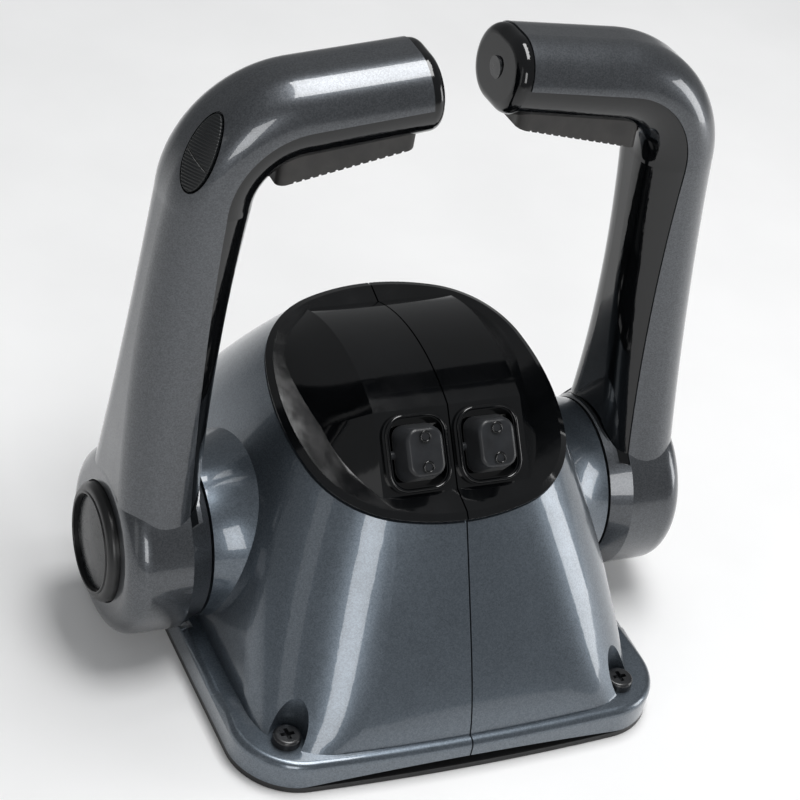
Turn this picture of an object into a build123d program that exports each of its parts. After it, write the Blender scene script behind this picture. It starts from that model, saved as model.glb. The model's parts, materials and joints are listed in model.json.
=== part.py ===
"""Twin-lever binnacle control for a boat: one throttle and shift lever for each of two engines.

Frame: X runs across the levers, port lever at -X. The operator stands at -Y, +Y is ahead. +Z is up.
The origin lies on the deck plane, straight under the levers' hub axis.
All sizes are in millimetres.
"""

import os
from math import acos, atan2, cos, degrees, pi, radians, sin, tan

from build123d import *

# ---------------------------------------------------------------- base and housing
base_width = 150.0
base_depth = 171.0
base_crown = 3.1            # bulge of the front and back edges
base_corner_r = 22.0
gasket_t = 2.0
gasket_rim = 17.0           # width of the rubber frame under the flange
flange_t = 9.5
flange_edge_r = 2.5
arch_rise = 3.5             # the flange's foot lifts off the gasket at the seam
arch_half_width = 58.0
wall = 3.0
seam_gap = 0.5
hub_height = 37.0

# The dome stands on the flange and ends at a plane that tilts towards the operator.
dome_foot_half_width = 68.0
dome_foot_half_depth = 82.5
cover_tilt = 14.0
cover_height = 85.6         # of the cover's centre over the deck
cover_centre_y = -6.0
cover_half_width = 48.5
cover_half_depth = 48.5
cover_end_crown = 11.0
cover_corner_r = 34.0
cover_side_crown = 9.0
dome_end_fullness = 1.3     # above 1 the front and back bulge outwards
dome_side_fullness = 1.9    # and the sides
# Levels up the dome, as a share of its height, with the corner radius there
dome_levels = ((0.0, 24.0), (0.14, 31.0), (0.42, 36.0), (0.73, 36.0), (1.0, cover_corner_r))

# Fasteners
screw_r = 2.5                # the M5 thread under the deck
screw_shank_r = 2.8          # the plain shank that centres the flange
screw_head_r = 4.6
screw_head_t = 3.2
screw_length = 30.0
screw_inset_x = 15.6        # from the base's side edge
screw_inset_y = 11.0        # from the base's front edge, at its corner
screw_pocket_r = 6.0
screw_slip = 0.25
screw_cross = 1.4           # width of the cross recess
tie_screw_r = 2.0
tie_lug_r = 6.0
tie_lug_length = 11.0
tie_rib_t = 4.0
tie_inset = 6.0             # of the lugs, from where they would touch the dome's foot

# Hub boss and shaft, measured along X from the seam
boss_face_x = 71.0
boss_r = 28.0
boss_root_x = 47.0
boss_root_r = 41.0
shaft_r = 8.0
inner_shaft_r = 7.0
bush_t = 3.0
bush_start_x = 50.0
run_fit = 0.05              # radial running clearance of every shaft
seal_r = 23.0
seal_section = 2.6
seal_groove = 2.2

# ---------------------------------------------------------------- top cover and its switches
cover_plate_t = 2.8
cover_bevel = 2.2
cover_wall = 2.4
cover_lip = 4.0
cover_lip_t = 1.6
cover_lip_gap = 0.6
hump_half_width = 25.7
hump_flank = 15.0           # width of the sloping side beyond the ridge
pad_foot_y = -43.6
pad_foot_z = 78.6
pad_head_y = -25.4
pad_head_z = 99.4
crest_y = 3.0
crest_z = 104.8
hump_end_y = 31.5
bezel_width = 23.4
bezel_length = 25.0
bezel_corner_r = 7.0
bezel_height = 1.0
pocket_wall = 2.4
rocker_gap = 1.2            # between the rocker's foot and the pocket's floor
rocker_pin_r = 1.3
rocker_pin_depth = 1.2       # below the pad
rocker_pin_reach = 1.6      # into the pocket's side walls
pocket_width = 18.5
pocket_length = 21.5
pocket_corner_r = 5.0
pocket_depth = 4.5
rocker_width = 12.3
rocker_length = 15.2
rocker_foot_width = 15.8
rocker_foot_length = 18.6
rocker_height = 6.4         # of its face above the bezel
rocker_edge_r = 1.5
switch_gap = 0.5
dot_r = 1.9
dot_height = 0.5
dot_spacing = 9.6
stem_width = 3.0            # of the rocker's foot that reaches the switch below
module_width = 14.0
module_length = 18.0
module_depth = 9.0
terminal_width = 6.0
terminal_t = 0.8
terminal_length = 4.0

# ---------------------------------------------------------------- levers
lever_tilt = 3.7            # both levers rest a little ahead of upright
lever_stagger = 1.1         # the starboard lever stands this much further ahead, port less
hub_r = 31.0
hub_neck_r = 28.0
hub_inner_x = 72.0
hub_flare_x = 79.0
hub_outer_x = 99.5
hub_edge_r = 7.0
arm_wall = 2.8
# Sections up the arm: height over the hub axis, inner face, outer face, width
arm_sections = ((5.0, 73.5, 99.5, 53.0), (70.0, 70.6, 98.0, 32.5))
arm_corner_r = 12.5
bend_x = 51.8               # centre of the knuckle's bend
bend_z = 128.5
bend_r = 28.5
bend_t = 27.4
grip_rise = 7.0             # degrees, towards its free end
grip_end_x = 17.5
grip_width = 32.0
grip_thickness = 26.0
grip_corner_r = 12.8
grip_end_r = 4.0
parting_x = 78.8            # parting between shell and inner cover, up the arm
parting_r = 27.0            # and its bend under the knuckle
parting_foot_z = 20.0
parting_gap = 0.15
cover_inset = 0.4           # the inner cover's outline stands this much inside the shell's
end_cap_length = 5.0
hub_boss_r = 13.0
cover_screw_x = 71.9         # its head's face
cover_screw_z = 92.0
screw_boss_r = 4.5
cover_screw_r = 2.0
cover_screw_head_r = 3.6
cover_screw_head_t = 2.0
cover_screw_length = 14.0

# Hub button, sprung, that lets the throttle open with the engine out of gear
button_r = 19.5
button_t = 6.5
button_proud = 3.5
button_travel = 2.5
button_gap = 0.5
button_edge_r = 2.4
button_disc_r = 15.9
button_disc_t = 1.2
button_disc_drop = 1.5      # the disc lies this far inside the button's rim
button_stem_r = 3.5
button_stem_length = 1.5

# Neutral lock lift bar under the grip
trigger_width = 22.0
trigger_inner_end = 18.5
trigger_outer_end = 62.0
trigger_drop = 2.5          # below the grip at its free end
trigger_drop_root = 7.0    # and at the arm
trigger_gap = 0.5
trigger_top = 6.0           # above the grip's underside, inside the grip
trigger_corner_r = 3.0
trigger_rib_pitch = 2.6
trigger_rib_r = 0.5

# Trim rocker in the port lever's knuckle
trim_length = 24.2
trim_width = 9.8
trim_x = 86.2
trim_y = -8.2
trim_z = 148.4
trim_slope = 26.0           # degrees from upright
trim_turn = 33.0            # degrees towards the operator
trim_depth = 5.8
trim_body = 3.4             # of the rocker, below the plane through its middle
trim_proud = 0.5             # over the lever's own curve
trim_edge_r = 0.4
trim_pin_depth = 4.0
trim_gap = 0.7
trim_pin_r = 1.0
trim_pin_reach = 1.2
trim_backing = 1.4          # of plastic round and behind the pocket

# ---------------------------------------------------------------- mechanism in each housing
plate_x = 12.0
plate_t = 4.0
plate_lobe_r = 8.0
post_r = 4.5
top_post_z = 68.0
low_post_y = 35.0
low_post_z = 20.0
post_screw_r = 1.7
post_screw_head_r = 3.2
post_screw_head_t = 2.0
post_screw_length = 12.0
gear_module = 1.25
drive_teeth = 18
driven_teeth = 28
gear_x = 24.0
gear_t = 7.0
gear_backlash = 0.35
gear_hub_r = 6.0
pressure_angle = 20.0
root_depth = 1.35           # in modules
gear_angle = 40.0           # of the driven gears' axes above the hub axis
arbor_r = 3.0
arbor_shoulder = 2.0
arbor_shoulder_gap = 0.4
shaft_start_x = 10.0
link_t = 4.0
link_length = 26.0
link_half_width = 5.0
link_splay = 30.0
cable_pin_r = 2.5
cable_pin_length = 9.0
detent_block = (14.0, 12.0, 9.0)
detent_ball_r = 2.4
detent_gap = 0.4
switch_body = (7.0, 20.0, 11.0)
switch_y = -17.0
switch_z = 20.0
switch_button_r = 1.5
switch_button_t = 2.0

# ---------------------------------------------------------------- worked out from the above
flange_top = gasket_t + flange_t
dome_foot_z = flange_top - 1.0
screw_x = base_width / 2 - screw_inset_x
screw_y = base_depth / 2 - screw_inset_y
gear_distance = gear_module * (drive_teeth + driven_teeth) / 2
driven_y = gear_distance * cos(radians(gear_angle))
driven_z = hub_height + gear_distance * sin(radians(gear_angle))
shaft_bore_r = shaft_r + run_fit
gear_end_x = gear_x + gear_t
shaft_end_x = 92.0
button_floor_x = hub_outer_x + button_proud - button_t - button_travel - button_gap
grip_slope = tan(radians(grip_rise))
pad_angle = degrees(atan2(pad_head_z - pad_foot_z, pad_head_y - pad_foot_y))


def tilted(angle, y, z):
    """A plane at (0, y, z) whose front dips by angle."""
    return Plane(origin=(0, y, z), x_dir=(1, 0, 0), z_dir=(0, -sin(radians(angle)), cos(radians(angle))))


cover_plane = tilted(cover_tilt, cover_centre_y, cover_height)
pad_plane = tilted(pad_angle, (pad_foot_y + pad_head_y) / 2, (pad_foot_z + pad_head_z) / 2)
starboard = Plane.YZ.offset(seam_gap / 2)
switch_x = seam_gap / 2 + switch_gap + bezel_width / 2

os.makedirs("parts", exist_ok=True)


def finish(piece, name):
    """Label a finished piece and write it."""
    piece.part.label = name
    export_step(piece.part, "parts/" + name + ".step")


def mirrored(piece):
    """The same piece for the port side."""
    with BuildPart() as other_hand:
        mirror(piece.part, about=Plane.YZ)
    return other_hand


def finish_pair(piece, name):
    """Write a starboard piece and its port twin."""
    finish(piece, "right_" + name)
    finish(mirrored(piece), "left_" + name)


def finish_lever(piece, name, side):
    """Write a lever piece, made upright about the origin, at rest on starboard (1) or port (-1)."""
    with BuildPart() as placed:
        with Locations(Location((0, 0, hub_height), (-lever_tilt - side * lever_stagger, 0, 0))):
            add(piece.part)
    finish(placed if side == 1 else mirrored(placed), name)


def finish_lever_pair(piece, name):
    """Write a lever piece for both levers."""
    finish_lever(piece, "right_" + name, 1)
    finish_lever(piece, "left_" + name, -1)


def finish_hub_pair(piece, name):
    """Write a piece made about the origin at the hub axis on both sides, not tilted."""
    with BuildPart() as placed:
        with Locations((0, 0, hub_height)):
            add(piece.part)
    finish_pair(placed, name)


def mesh_turn(side):
    """Turn about X that lets a driven gear's teeth mesh with the drive gear's."""
    to_drive = 180 + gear_angle if side == 1 else -gear_angle
    drive_phase = (to_drive - 180) * drive_teeth / 360
    gap_phase = 0.5 - drive_phase
    return to_drive - gap_phase * 360 / driven_teeth


def crowned_outline(half_width, half_depth, end_crown, side_crown, corner_r):
    """A rectangle with bulging sides and round corners."""
    x, y = half_width - side_crown, half_depth - end_crown
    with BuildSketch() as outline:
        with BuildLine():
            SagittaArc((-x, -y), (x, -y), -end_crown)
            SagittaArc((x, -y), (x, y), -side_crown)
            SagittaArc((x, y), (-x, y), -end_crown)
            SagittaArc((-x, y), (-x, -y), -side_crown)
        make_face()
        fillet(outline.vertices(), corner_r)
    return outline.sketch


def tube_along_x(x_from, x_to, radius, y=0.0, z=hub_height):
    """A solid cylinder along X."""
    with BuildPart() as rod:
        with BuildSketch(Plane.YZ.offset(x_from)):
            with Locations((y, z)):
                Circle(radius)
        extrude(amount=x_to - x_from)
    return rod.part


# ---------------------------------------------------------------- base gasket
with BuildPart() as base_gasket:
    with BuildSketch():
        add(crowned_outline(base_width / 2, base_depth / 2 + base_crown, base_crown, 0.4, base_corner_r))
        with Locations((0, 0)):
            RectangleRounded(
                base_width - 2 * gasket_rim,
                base_depth - 2 * gasket_rim - 2 * screw_inset_y,
                base_corner_r / 2,
                mode=Mode.SUBTRACT,
            )
        with GridLocations(2 * screw_x, 2 * screw_y, 2, 2):
            Circle(screw_shank_r + screw_slip, mode=Mode.SUBTRACT)
    extrude(amount=gasket_t)
finish(base_gasket, "base_gasket")


# ---------------------------------------------------------------- housing
def dome(inset, foot_z):
    """The dome, lofted through outlines that fan from the deck plane to the cover plane."""
    with BuildPart() as shape:
        for level, corner_r in dome_levels:
            side_swell = (dome_foot_half_width - cover_half_width) * (1 - level**dome_side_fullness)
            end_swell = (dome_foot_half_depth + base_crown - cover_half_depth) * (1 - level**dome_end_fullness)
            height = foot_z + (cover_height - foot_z) * level
            with BuildSketch(tilted(cover_tilt * level, cover_centre_y * level, height)):
                add(
                    crowned_outline(
                        cover_half_width + side_swell - inset,
                        cover_half_depth + end_swell - inset,
                        base_crown + (cover_end_crown - base_crown) * level,
                        cover_side_crown * (0.1 + 0.9 * level),
                        corner_r - inset,
                    )
                )
        loft()
    return shape.part


def lug_places():
    """Where the tie screws join the housing halves: y, z."""
    front = dome_foot_half_depth - wall - tie_lug_r
    return ((-front + tie_inset, hub_height - 10), (front - tie_inset, hub_height - 10))


def post_places():
    """Where the mechanism plate is screwed to the housing's posts: y, z."""
    return ((-low_post_y, low_post_z), (low_post_y, low_post_z), (0, top_post_z))


with BuildPart() as right_housing:
    # Flange, with a rounded top edge
    with BuildSketch(Plane.XY.offset(gasket_t)):
        add(crowned_outline(base_width / 2, base_depth / 2 + base_crown, base_crown, 0.4, base_corner_r))
    extrude(amount=flange_t)
    fillet(right_housing.faces().sort_by(Axis.Z)[-1].edges(), flange_edge_r)
    add(dome(0, dome_foot_z))
    # Hub boss that sweeps out of the dome's side
    with BuildSketch(Plane.XZ):
        with BuildLine():
            Polyline((0, hub_height), (boss_face_x, hub_height), (boss_face_x, hub_height + boss_r))
            ThreePointArc(
                (boss_face_x, hub_height + boss_r),
                ((boss_face_x + boss_root_x) / 2 - 1.0, hub_height + boss_r + (boss_root_r - boss_r) * 0.32),
                (boss_root_x, hub_height + boss_root_r),
            )
            Polyline((boss_root_x, hub_height + boss_root_r), (0, hub_height + boss_root_r), (0, hub_height))
        make_face()
    revolve(axis=Axis((0, 0, hub_height), (1, 0, 0)))
    split(bisect_by=cover_plane, keep=Keep.BOTTOM)
    split(bisect_by=Plane.XY.offset(gasket_t), keep=Keep.TOP)
    split(bisect_by=starboard, keep=Keep.TOP)
    # Hollow inside, open underneath and at the top
    add(dome(wall, gasket_t - 1.0), mode=Mode.SUBTRACT)
    # Lugs, posts and the bearing boss, trimmed to the dome
    with BuildPart(mode=Mode.PRIVATE) as inner_bosses:
        for y, z in lug_places():
            add(tube_along_x(seam_gap / 2, tie_lug_length, tie_lug_r, y, z))
            with Locations((seam_gap / 2, y, z)):
                Box(
                    tie_lug_length - seam_gap / 2, 4 * tie_lug_r, tie_rib_t,
                    align=(Align.MIN, Align.MIN if y > 0 else Align.MAX, Align.CENTER),
                )
        for y, z in post_places():
            add(tube_along_x(plate_x + plate_t, base_width / 2, post_r, y, z))
        add(tube_along_x(bush_start_x, boss_face_x - 4, shaft_r + bush_t + wall))
        add(dome(wall / 2, gasket_t - 1.0), mode=Mode.INTERSECT)
    add(inner_bosses.part)
    add(tube_along_x(bush_start_x - 1, boss_face_x + 1, shaft_r + bush_t), mode=Mode.SUBTRACT)
    # Groove for the seal in the boss face
    with BuildSketch(Plane.YZ.offset(boss_face_x)):
        with Locations((0, hub_height)):
            Circle(seal_r + seal_section / 2)
            Circle(seal_r - seal_section / 2, mode=Mode.SUBTRACT)
    extrude(amount=-seal_groove, mode=Mode.SUBTRACT)
    # Relief in the flange for the lever's hub
    add(
        tube_along_x(boss_face_x + 0.01, base_width, hub_r + 1.0),
        mode=Mode.SUBTRACT,
    )
    for y, z in lug_places():
        add(tube_along_x(-1, tie_lug_length + 1, tie_screw_r, y, z), mode=Mode.SUBTRACT)
    for y, z in post_places():
        add(tube_along_x(plate_x, plate_x + post_screw_length, post_screw_r, y, z), mode=Mode.SUBTRACT)
    # Screw pockets and holes
    with BuildSketch(Plane.XY.offset(flange_top)):
        with Locations((screw_x, screw_y), (screw_x, -screw_y)):
            Circle(screw_pocket_r)
    extrude(amount=cover_height, mode=Mode.SUBTRACT)
    with BuildSketch(Plane.XY.offset(gasket_t)):
        with Locations((screw_x, screw_y), (screw_x, -screw_y)):
            Circle(screw_shank_r + screw_slip)
    extrude(amount=cover_height, mode=Mode.SUBTRACT)
    # The foot arches up at the seam, front and back
    with BuildSketch(Plane.XZ):
        with BuildLine():
            ThreePointArc(
                (-arch_half_width, gasket_t), (0, gasket_t + arch_rise), (arch_half_width, gasket_t)
            )
            Line((arch_half_width, gasket_t), (-arch_half_width, gasket_t))
        make_face()
    extrude(amount=base_depth, both=True, mode=Mode.SUBTRACT)
finish_pair(right_housing, "housing")

with BuildPart() as tie_screws:
    for y, z in lug_places():
        add(tube_along_x(-tie_lug_length, tie_lug_length, tie_screw_r, y, z))
        add(tube_along_x(tie_lug_length, tie_lug_length + tie_screw_r, 2 * tie_screw_r, y, z))
finish(tie_screws, "tie_screws")

with BuildPart() as mounting_screws:
    with BuildSketch(Plane.XY.offset(flange_top - screw_length)):
        with GridLocations(2 * screw_x, 2 * screw_y, 2, 2):
            Circle(screw_r)
    extrude(amount=screw_length - flange_top)
    with BuildSketch():
        with GridLocations(2 * screw_x, 2 * screw_y, 2, 2):
            Circle(screw_shank_r)
    extrude(amount=flange_top)
    with BuildSketch(Plane.XY.offset(flange_top)):
        with GridLocations(2 * screw_x, 2 * screw_y, 2, 2):
            Circle(screw_head_r)
    extrude(amount=screw_head_t)
    fillet(mounting_screws.faces().sort_by(Axis.Z)[-4:].edges(), screw_head_t / 3)
    # Cross recess
    with BuildSketch(Plane.XY.offset(flange_top + screw_head_t)):
        with GridLocations(2 * screw_x, 2 * screw_y, 2, 2):
            Rectangle(screw_head_r, screw_cross)
            Rectangle(screw_cross, screw_head_r)
    extrude(amount=-screw_head_t / 2, mode=Mode.SUBTRACT)
finish(mounting_screws, "mounting_screws")

with BuildPart() as boss_seal:
    with BuildSketch(Plane.XZ):
        with Locations((boss_face_x - seal_groove + seal_section / 2, hub_height + seal_r)):
            Ellipse(seal_section / 2, seal_section / 2 - run_fit)
    revolve(axis=Axis((0, 0, hub_height), (1, 0, 0)))
finish_pair(boss_seal, "boss_seal")

with BuildPart() as shaft_bush:
    add(tube_along_x(bush_start_x, boss_face_x - 1, shaft_r + bush_t))
    add(tube_along_x(bush_start_x - 1, boss_face_x, shaft_bore_r), mode=Mode.SUBTRACT)
finish_pair(shaft_bush, "shaft_bush")


# ---------------------------------------------------------------- top cover and switches
def plate_top(y):
    """Height of the cover plate's top face."""
    slope = tan(radians(cover_tilt))
    return cover_height + (y - cover_centre_y) * slope + cover_plate_t / cos(radians(cover_tilt))


def hump_side(sink, inset):
    """Side view of the cover's hump; sink lowers it from full height (0) into the plate (1)."""
    head = (pad_head_y + hump_flank * sink, pad_head_z + (plate_top(pad_head_y) - 2 - pad_head_z) * sink)
    crest = (crest_y, crest_z + (plate_top(crest_y) - 1 - crest_z) * sink)
    end_y = hump_end_y - 0.8 * hump_flank * sink
    end = (end_y, plate_top(end_y) - 1.5 * sink)
    foot_y = pad_foot_y + hump_flank * sink
    low = plate_top(pad_foot_y) - 3 * cover_plate_t
    with BuildSketch() as side_view:
        with BuildLine():
            ThreePointArc(head, crest, end)
            Polyline(end, (end_y, low), (foot_y, low), (foot_y, pad_foot_z), head)
        make_face()
        offset(amount=-inset, kind=Kind.INTERSECTION)
    return side_view.sketch


def hump(inset):
    """The raised middle of the starboard cover, whose flank slopes down into the plate."""
    with BuildPart() as shape:
        with BuildSketch(Plane.YZ):
            add(hump_side(0, inset))
        extrude(amount=hump_half_width - inset)
        for reach, sink in ((0, 0), (hump_flank, 1)):
            with BuildSketch(Plane.YZ.offset(hump_half_width - inset + reach)):
                add(hump_side(sink, inset))
        loft(ruled=True)
    return shape.part


def cover_outline(inset):
    """The oval where the dome ends."""
    return crowned_outline(
        cover_half_width - inset, cover_half_depth - inset, cover_end_crown, cover_side_crown, cover_corner_r - inset
    )


def box_at_switch(width, length, corner_r, z_from, z_to):
    """A rounded block on the switch pad; z is along the pad's normal."""
    with BuildPart() as block:
        with BuildSketch(pad_plane.offset(z_from)):
            with Locations((switch_x, 0)):
                RectangleRounded(width, length, corner_r)
        extrude(amount=z_to - z_from)
    return block.part


def rocker_pin(clearance):
    """The rocker's cross pin, or its bearing when given a clearance."""
    reach = pocket_width / 2 + rocker_pin_reach + 2 * clearance
    middle = pad_plane.offset(-rocker_pin_depth).origin
    return tube_along_x(switch_x - reach, switch_x + reach, rocker_pin_r + clearance, middle.Y, middle.Z)


pocket_bottom = bezel_height - pocket_depth
with BuildPart() as right_top_cover:
    with BuildSketch(cover_plane):
        add(cover_outline(0))
    extrude(amount=cover_plate_t)
    chamfer(right_top_cover.faces().sort_by(Axis.Z)[-1].edges(), cover_bevel * 0.6, cover_bevel)
    with BuildPart(mode=Mode.PRIVATE) as raised:
        add(hump(0))
        split(bisect_by=cover_plane, keep=Keep.TOP)
    add(raised.part)
    # Lip that drops inside the dome
    with BuildSketch(cover_plane):
        add(cover_outline(wall + cover_lip_gap))
        add(cover_outline(wall + cover_lip_gap + cover_lip_t), mode=Mode.SUBTRACT)
    extrude(amount=-cover_lip)
    add(box_at_switch(bezel_width, bezel_length, bezel_corner_r, 0, bezel_height))
    with BuildPart(mode=Mode.PRIVATE) as cavity:
        add(hump(cover_wall))
    add(cavity.part, mode=Mode.SUBTRACT)
    # Walled pocket for the switch
    add(
        box_at_switch(
            pocket_width + 2 * pocket_wall, pocket_length + 2 * pocket_wall, pocket_corner_r + pocket_wall,
            pocket_bottom - pocket_wall, -cover_wall / 2,
        )
    )
    add(box_at_switch(pocket_width, pocket_length, pocket_corner_r, pocket_bottom, cover_height), mode=Mode.SUBTRACT)
    add(box_at_switch(stem_width + 3, stem_width + 3, 2, -cover_height, 0), mode=Mode.SUBTRACT)
    add(rocker_pin(run_fit), mode=Mode.SUBTRACT)
    split(bisect_by=starboard, keep=Keep.TOP)
finish_pair(right_top_cover, "top_cover")

# Rubber rocker: a tapered plug on a cross pin, with two dots on its face
rocker_foot = pocket_bottom + rocker_gap
with BuildPart() as right_switch_rocker:
    with BuildSketch(pad_plane.offset(rocker_foot)):
        with Locations((switch_x, 0)):
            RectangleRounded(rocker_foot_width, rocker_foot_length, pocket_corner_r - 1)
    with BuildSketch(pad_plane.offset(bezel_height + rocker_height)):
        with Locations((switch_x, 0)):
            RectangleRounded(rocker_width, rocker_length, pocket_corner_r - 1)
    loft()
    fillet(right_switch_rocker.faces().sort_by(Axis.Z)[-1].edges(), rocker_edge_r)
    with BuildSketch(pad_plane.offset(bezel_height + rocker_height)):
        with Locations((switch_x, -dot_spacing / 2), (switch_x, dot_spacing / 2)):
            Circle(dot_r)
    extrude(amount=dot_height)
    # Stem to the switch underneath, and the pin
    with BuildSketch(pad_plane.offset(rocker_foot)):
        with Locations((switch_x, 0)):
            Rectangle(stem_width, stem_width)
    extrude(amount=-pocket_wall - rocker_gap)
    add(rocker_pin(0))
finish_pair(right_switch_rocker, "switch_rocker")

with BuildPart() as right_switch_module:
    add(
        box_at_switch(
            module_width, module_length, 1.0,
            pocket_bottom - pocket_wall - module_depth, pocket_bottom - pocket_wall,
        )
    )
    # Well that clears the rocker's stem
    add(
        box_at_switch(stem_width + 3, stem_width + 3, 1.0, pocket_bottom - 2 * pocket_wall, cover_height),
        mode=Mode.SUBTRACT,
    )
    with BuildSketch(pad_plane.offset(pocket_bottom - pocket_wall - module_depth)):
        for offset_y in (-module_length / 4, 0, module_length / 4):
            with Locations((switch_x, offset_y)):
                Rectangle(terminal_width, terminal_t)
    extrude(amount=-terminal_length)
finish_pair(right_switch_module, "switch_module")


# ---------------------------------------------------------------- levers, upright about the hub axis
def grip_axis_z(x):
    """Height of the grip's axis over the hub axis at x."""
    return bend_z + bend_r / cos(radians(grip_rise)) + (bend_x - x) * grip_slope


def lever_form(inset):
    """The outside of a lever shrunk by inset: hub, arm, knuckle and grip as one solid."""
    with BuildPart() as form:
        # Arm, wide where it meets the hub
        for z, inner_x, outer_x, width in arm_sections:
            with BuildSketch(Plane.XY.offset(z)):
                with Locations(((inner_x + outer_x) / 2, 0)):
                    RectangleRounded(outer_x - inner_x - 2 * inset, width - 2 * inset, arm_corner_r - inset)
        with BuildSketch(Plane.XY.offset(bend_z)):
            with Locations((bend_x + bend_r, 0)):
                RectangleRounded(bend_t - 2 * inset, grip_width - 2 * inset, grip_corner_r - inset)
        loft()
        # Knuckle
        with BuildSketch(Plane.XY.offset(bend_z)):
            with Locations((bend_x + bend_r, 0)):
                RectangleRounded(bend_t - 2 * inset, grip_width - 2 * inset, grip_corner_r - inset)
        revolve(axis=Axis((bend_x, 0, bend_z), (0, -1, 0)), revolution_arc=90 - grip_rise)
        # Grip, slightly deeper at its free end
        turn = radians(90 - grip_rise)
        free_x = grip_end_x - end_cap_length + inset
        for x, z, thickness in (
            (bend_x + bend_r * cos(turn), bend_z + bend_r * sin(turn), bend_t),
            (free_x, grip_axis_z(free_x), grip_thickness),
        ):
            with BuildSketch(Plane(origin=(x, 0, z), x_dir=(0, 1, 0), z_dir=(-sin(turn), 0, cos(turn)))):
                RectangleRounded(grip_width - 2 * inset, thickness - 2 * inset, grip_corner_r - inset)
        loft()
        fillet(form.faces().sort_by(Axis.X)[0].edges(), grip_end_r - inset)
        # Hub
        with BuildPart(mode=Mode.PRIVATE) as hub:
            with BuildSketch(Plane.XZ):
                with BuildLine():
                    Polyline(
                        (hub_inner_x + inset, 0),
                        (hub_inner_x + inset, hub_neck_r - inset),
                        (hub_flare_x, hub_r - inset),
                        (hub_outer_x - inset, hub_r - inset),
                        (hub_outer_x - inset, 0),
                        (hub_inner_x + inset, 0),
                    )
                make_face()
            revolve(axis=Axis.X)
            fillet(hub.edges().filter_by(GeomType.CIRCLE).sort_by(Axis.X)[-1], hub_edge_r)
        add(hub.part)
    return form.part


def inner_region(gap):
    """The side of the lever that faces the other lever, up to the parting less gap."""
    arm_x = parting_x - gap
    with BuildPart() as region:
        with BuildSketch(Plane.XZ):
            with BuildLine():
                Polyline((0, parting_foot_z), (arm_x, parting_foot_z), (arm_x, grip_axis_z(arm_x)))
                Polyline((arm_x, grip_axis_z(arm_x)), (-arm_x, grip_axis_z(-arm_x)), (-arm_x, 0), (0, parting_foot_z))
            make_face()
            fillet(vertices().filter_by_position(Axis.X, arm_x - 1, arm_x + 1).sort_by(Axis.Y)[-1], parting_r)
        extrude(amount=base_width / 2, both=True)
        # The black end cap takes the whole grip's end
        with BuildSketch(Plane(origin=(grip_end_x - gap, 0, grip_axis_z(grip_end_x)), x_dir=(0, 1, 0), z_dir=(-1, 0, grip_slope))):
            Rectangle(2 * grip_width, 2 * grip_thickness)
        extrude(amount=4 * end_cap_length)
        add(tube_along_x(0, parting_x + 1, hub_neck_r + 1 + gap, 0, 0), mode=Mode.SUBTRACT)
    return region.part


def screw_places():
    """Axes of the lever's two screws: x of the head's face, z."""
    cap_x = grip_end_x - end_cap_length
    return ((cover_screw_x, cover_screw_z), (cap_x, grip_axis_z(cap_x)))


with BuildPart() as lever_screws:
    for x, z in screw_places():
        add(tube_along_x(x, x + cover_screw_head_t, cover_screw_head_r, 0, z))
        add(tube_along_x(x, x + cover_screw_length, cover_screw_r, 0, z))

with BuildPart() as shell:
    add(lever_form(0))
    add(inner_region(0), mode=Mode.SUBTRACT)
    with BuildPart(mode=Mode.PRIVATE) as cavity:
        add(lever_form(arm_wall))
        # Solid round the shaft and behind the hub button
        add(tube_along_x(0, hub_outer_x, hub_boss_r, 0, 0), mode=Mode.SUBTRACT)
        add(tube_along_x(button_floor_x - arm_wall, hub_outer_x + 1, hub_r, 0, 0), mode=Mode.SUBTRACT)
        # Bosses and a rib for the two screws
        add(tube_along_x(parting_x + 1, hub_outer_x + 1, screw_boss_r, 0, cover_screw_z), mode=Mode.SUBTRACT)
        boss_z = grip_axis_z(grip_end_x)
        add(tube_along_x(0, grip_end_x + cover_screw_length, screw_boss_r, 0, boss_z), mode=Mode.SUBTRACT)
        with Locations((grip_end_x, 0, boss_z)):
            Box(
                cover_screw_length, arm_wall, grip_thickness,
                align=(Align.MIN, Align.CENTER, Align.MIN), mode=Mode.SUBTRACT,
            )
    add(cavity.part, mode=Mode.SUBTRACT)
    add(tube_along_x(button_floor_x, hub_outer_x + 10, button_r + button_gap, 0, 0), mode=Mode.SUBTRACT)
    add(tube_along_x(0, shaft_end_x, inner_shaft_r, 0, 0), mode=Mode.SUBTRACT)
    add(tube_along_x(shaft_end_x, hub_outer_x, button_stem_r + button_gap, 0, 0), mode=Mode.SUBTRACT)
    add(lever_screws.part, mode=Mode.SUBTRACT)
finish_lever_pair(lever_screws, "lever_screws")
finish_lever(shell, "right_lever_shell", 1)


def trigger_outline(gap):
    """The trigger seen from above, grown by gap."""
    with BuildSketch(Plane.XY.offset(bend_z - bend_r)) as outline:
        with Locations(((trigger_inner_end + trigger_outer_end) / 2, 0)):
            RectangleRounded(
                trigger_outer_end - trigger_inner_end + 2 * gap, trigger_width + 2 * gap, trigger_corner_r + gap
            )
    return outline.sketch


def under_grip(x, rise):
    """A point rise above the grip's underside at x."""
    return (x, grip_axis_z(x) - grip_thickness / 2 + rise)


with BuildPart() as inner_cover:
    add(lever_form(cover_inset))
    add(inner_region(parting_gap), mode=Mode.INTERSECT)
    add(lever_form(arm_wall), mode=Mode.SUBTRACT)
    # Slot for the trigger
    with BuildSketch(Plane.XY):
        add(trigger_outline(trigger_gap))
    extrude(amount=grip_axis_z(trigger_inner_end) - trigger_gap, mode=Mode.SUBTRACT)
    add(lever_screws.part, mode=Mode.SUBTRACT)
finish_lever_pair(inner_cover, "inner_cover")

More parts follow.
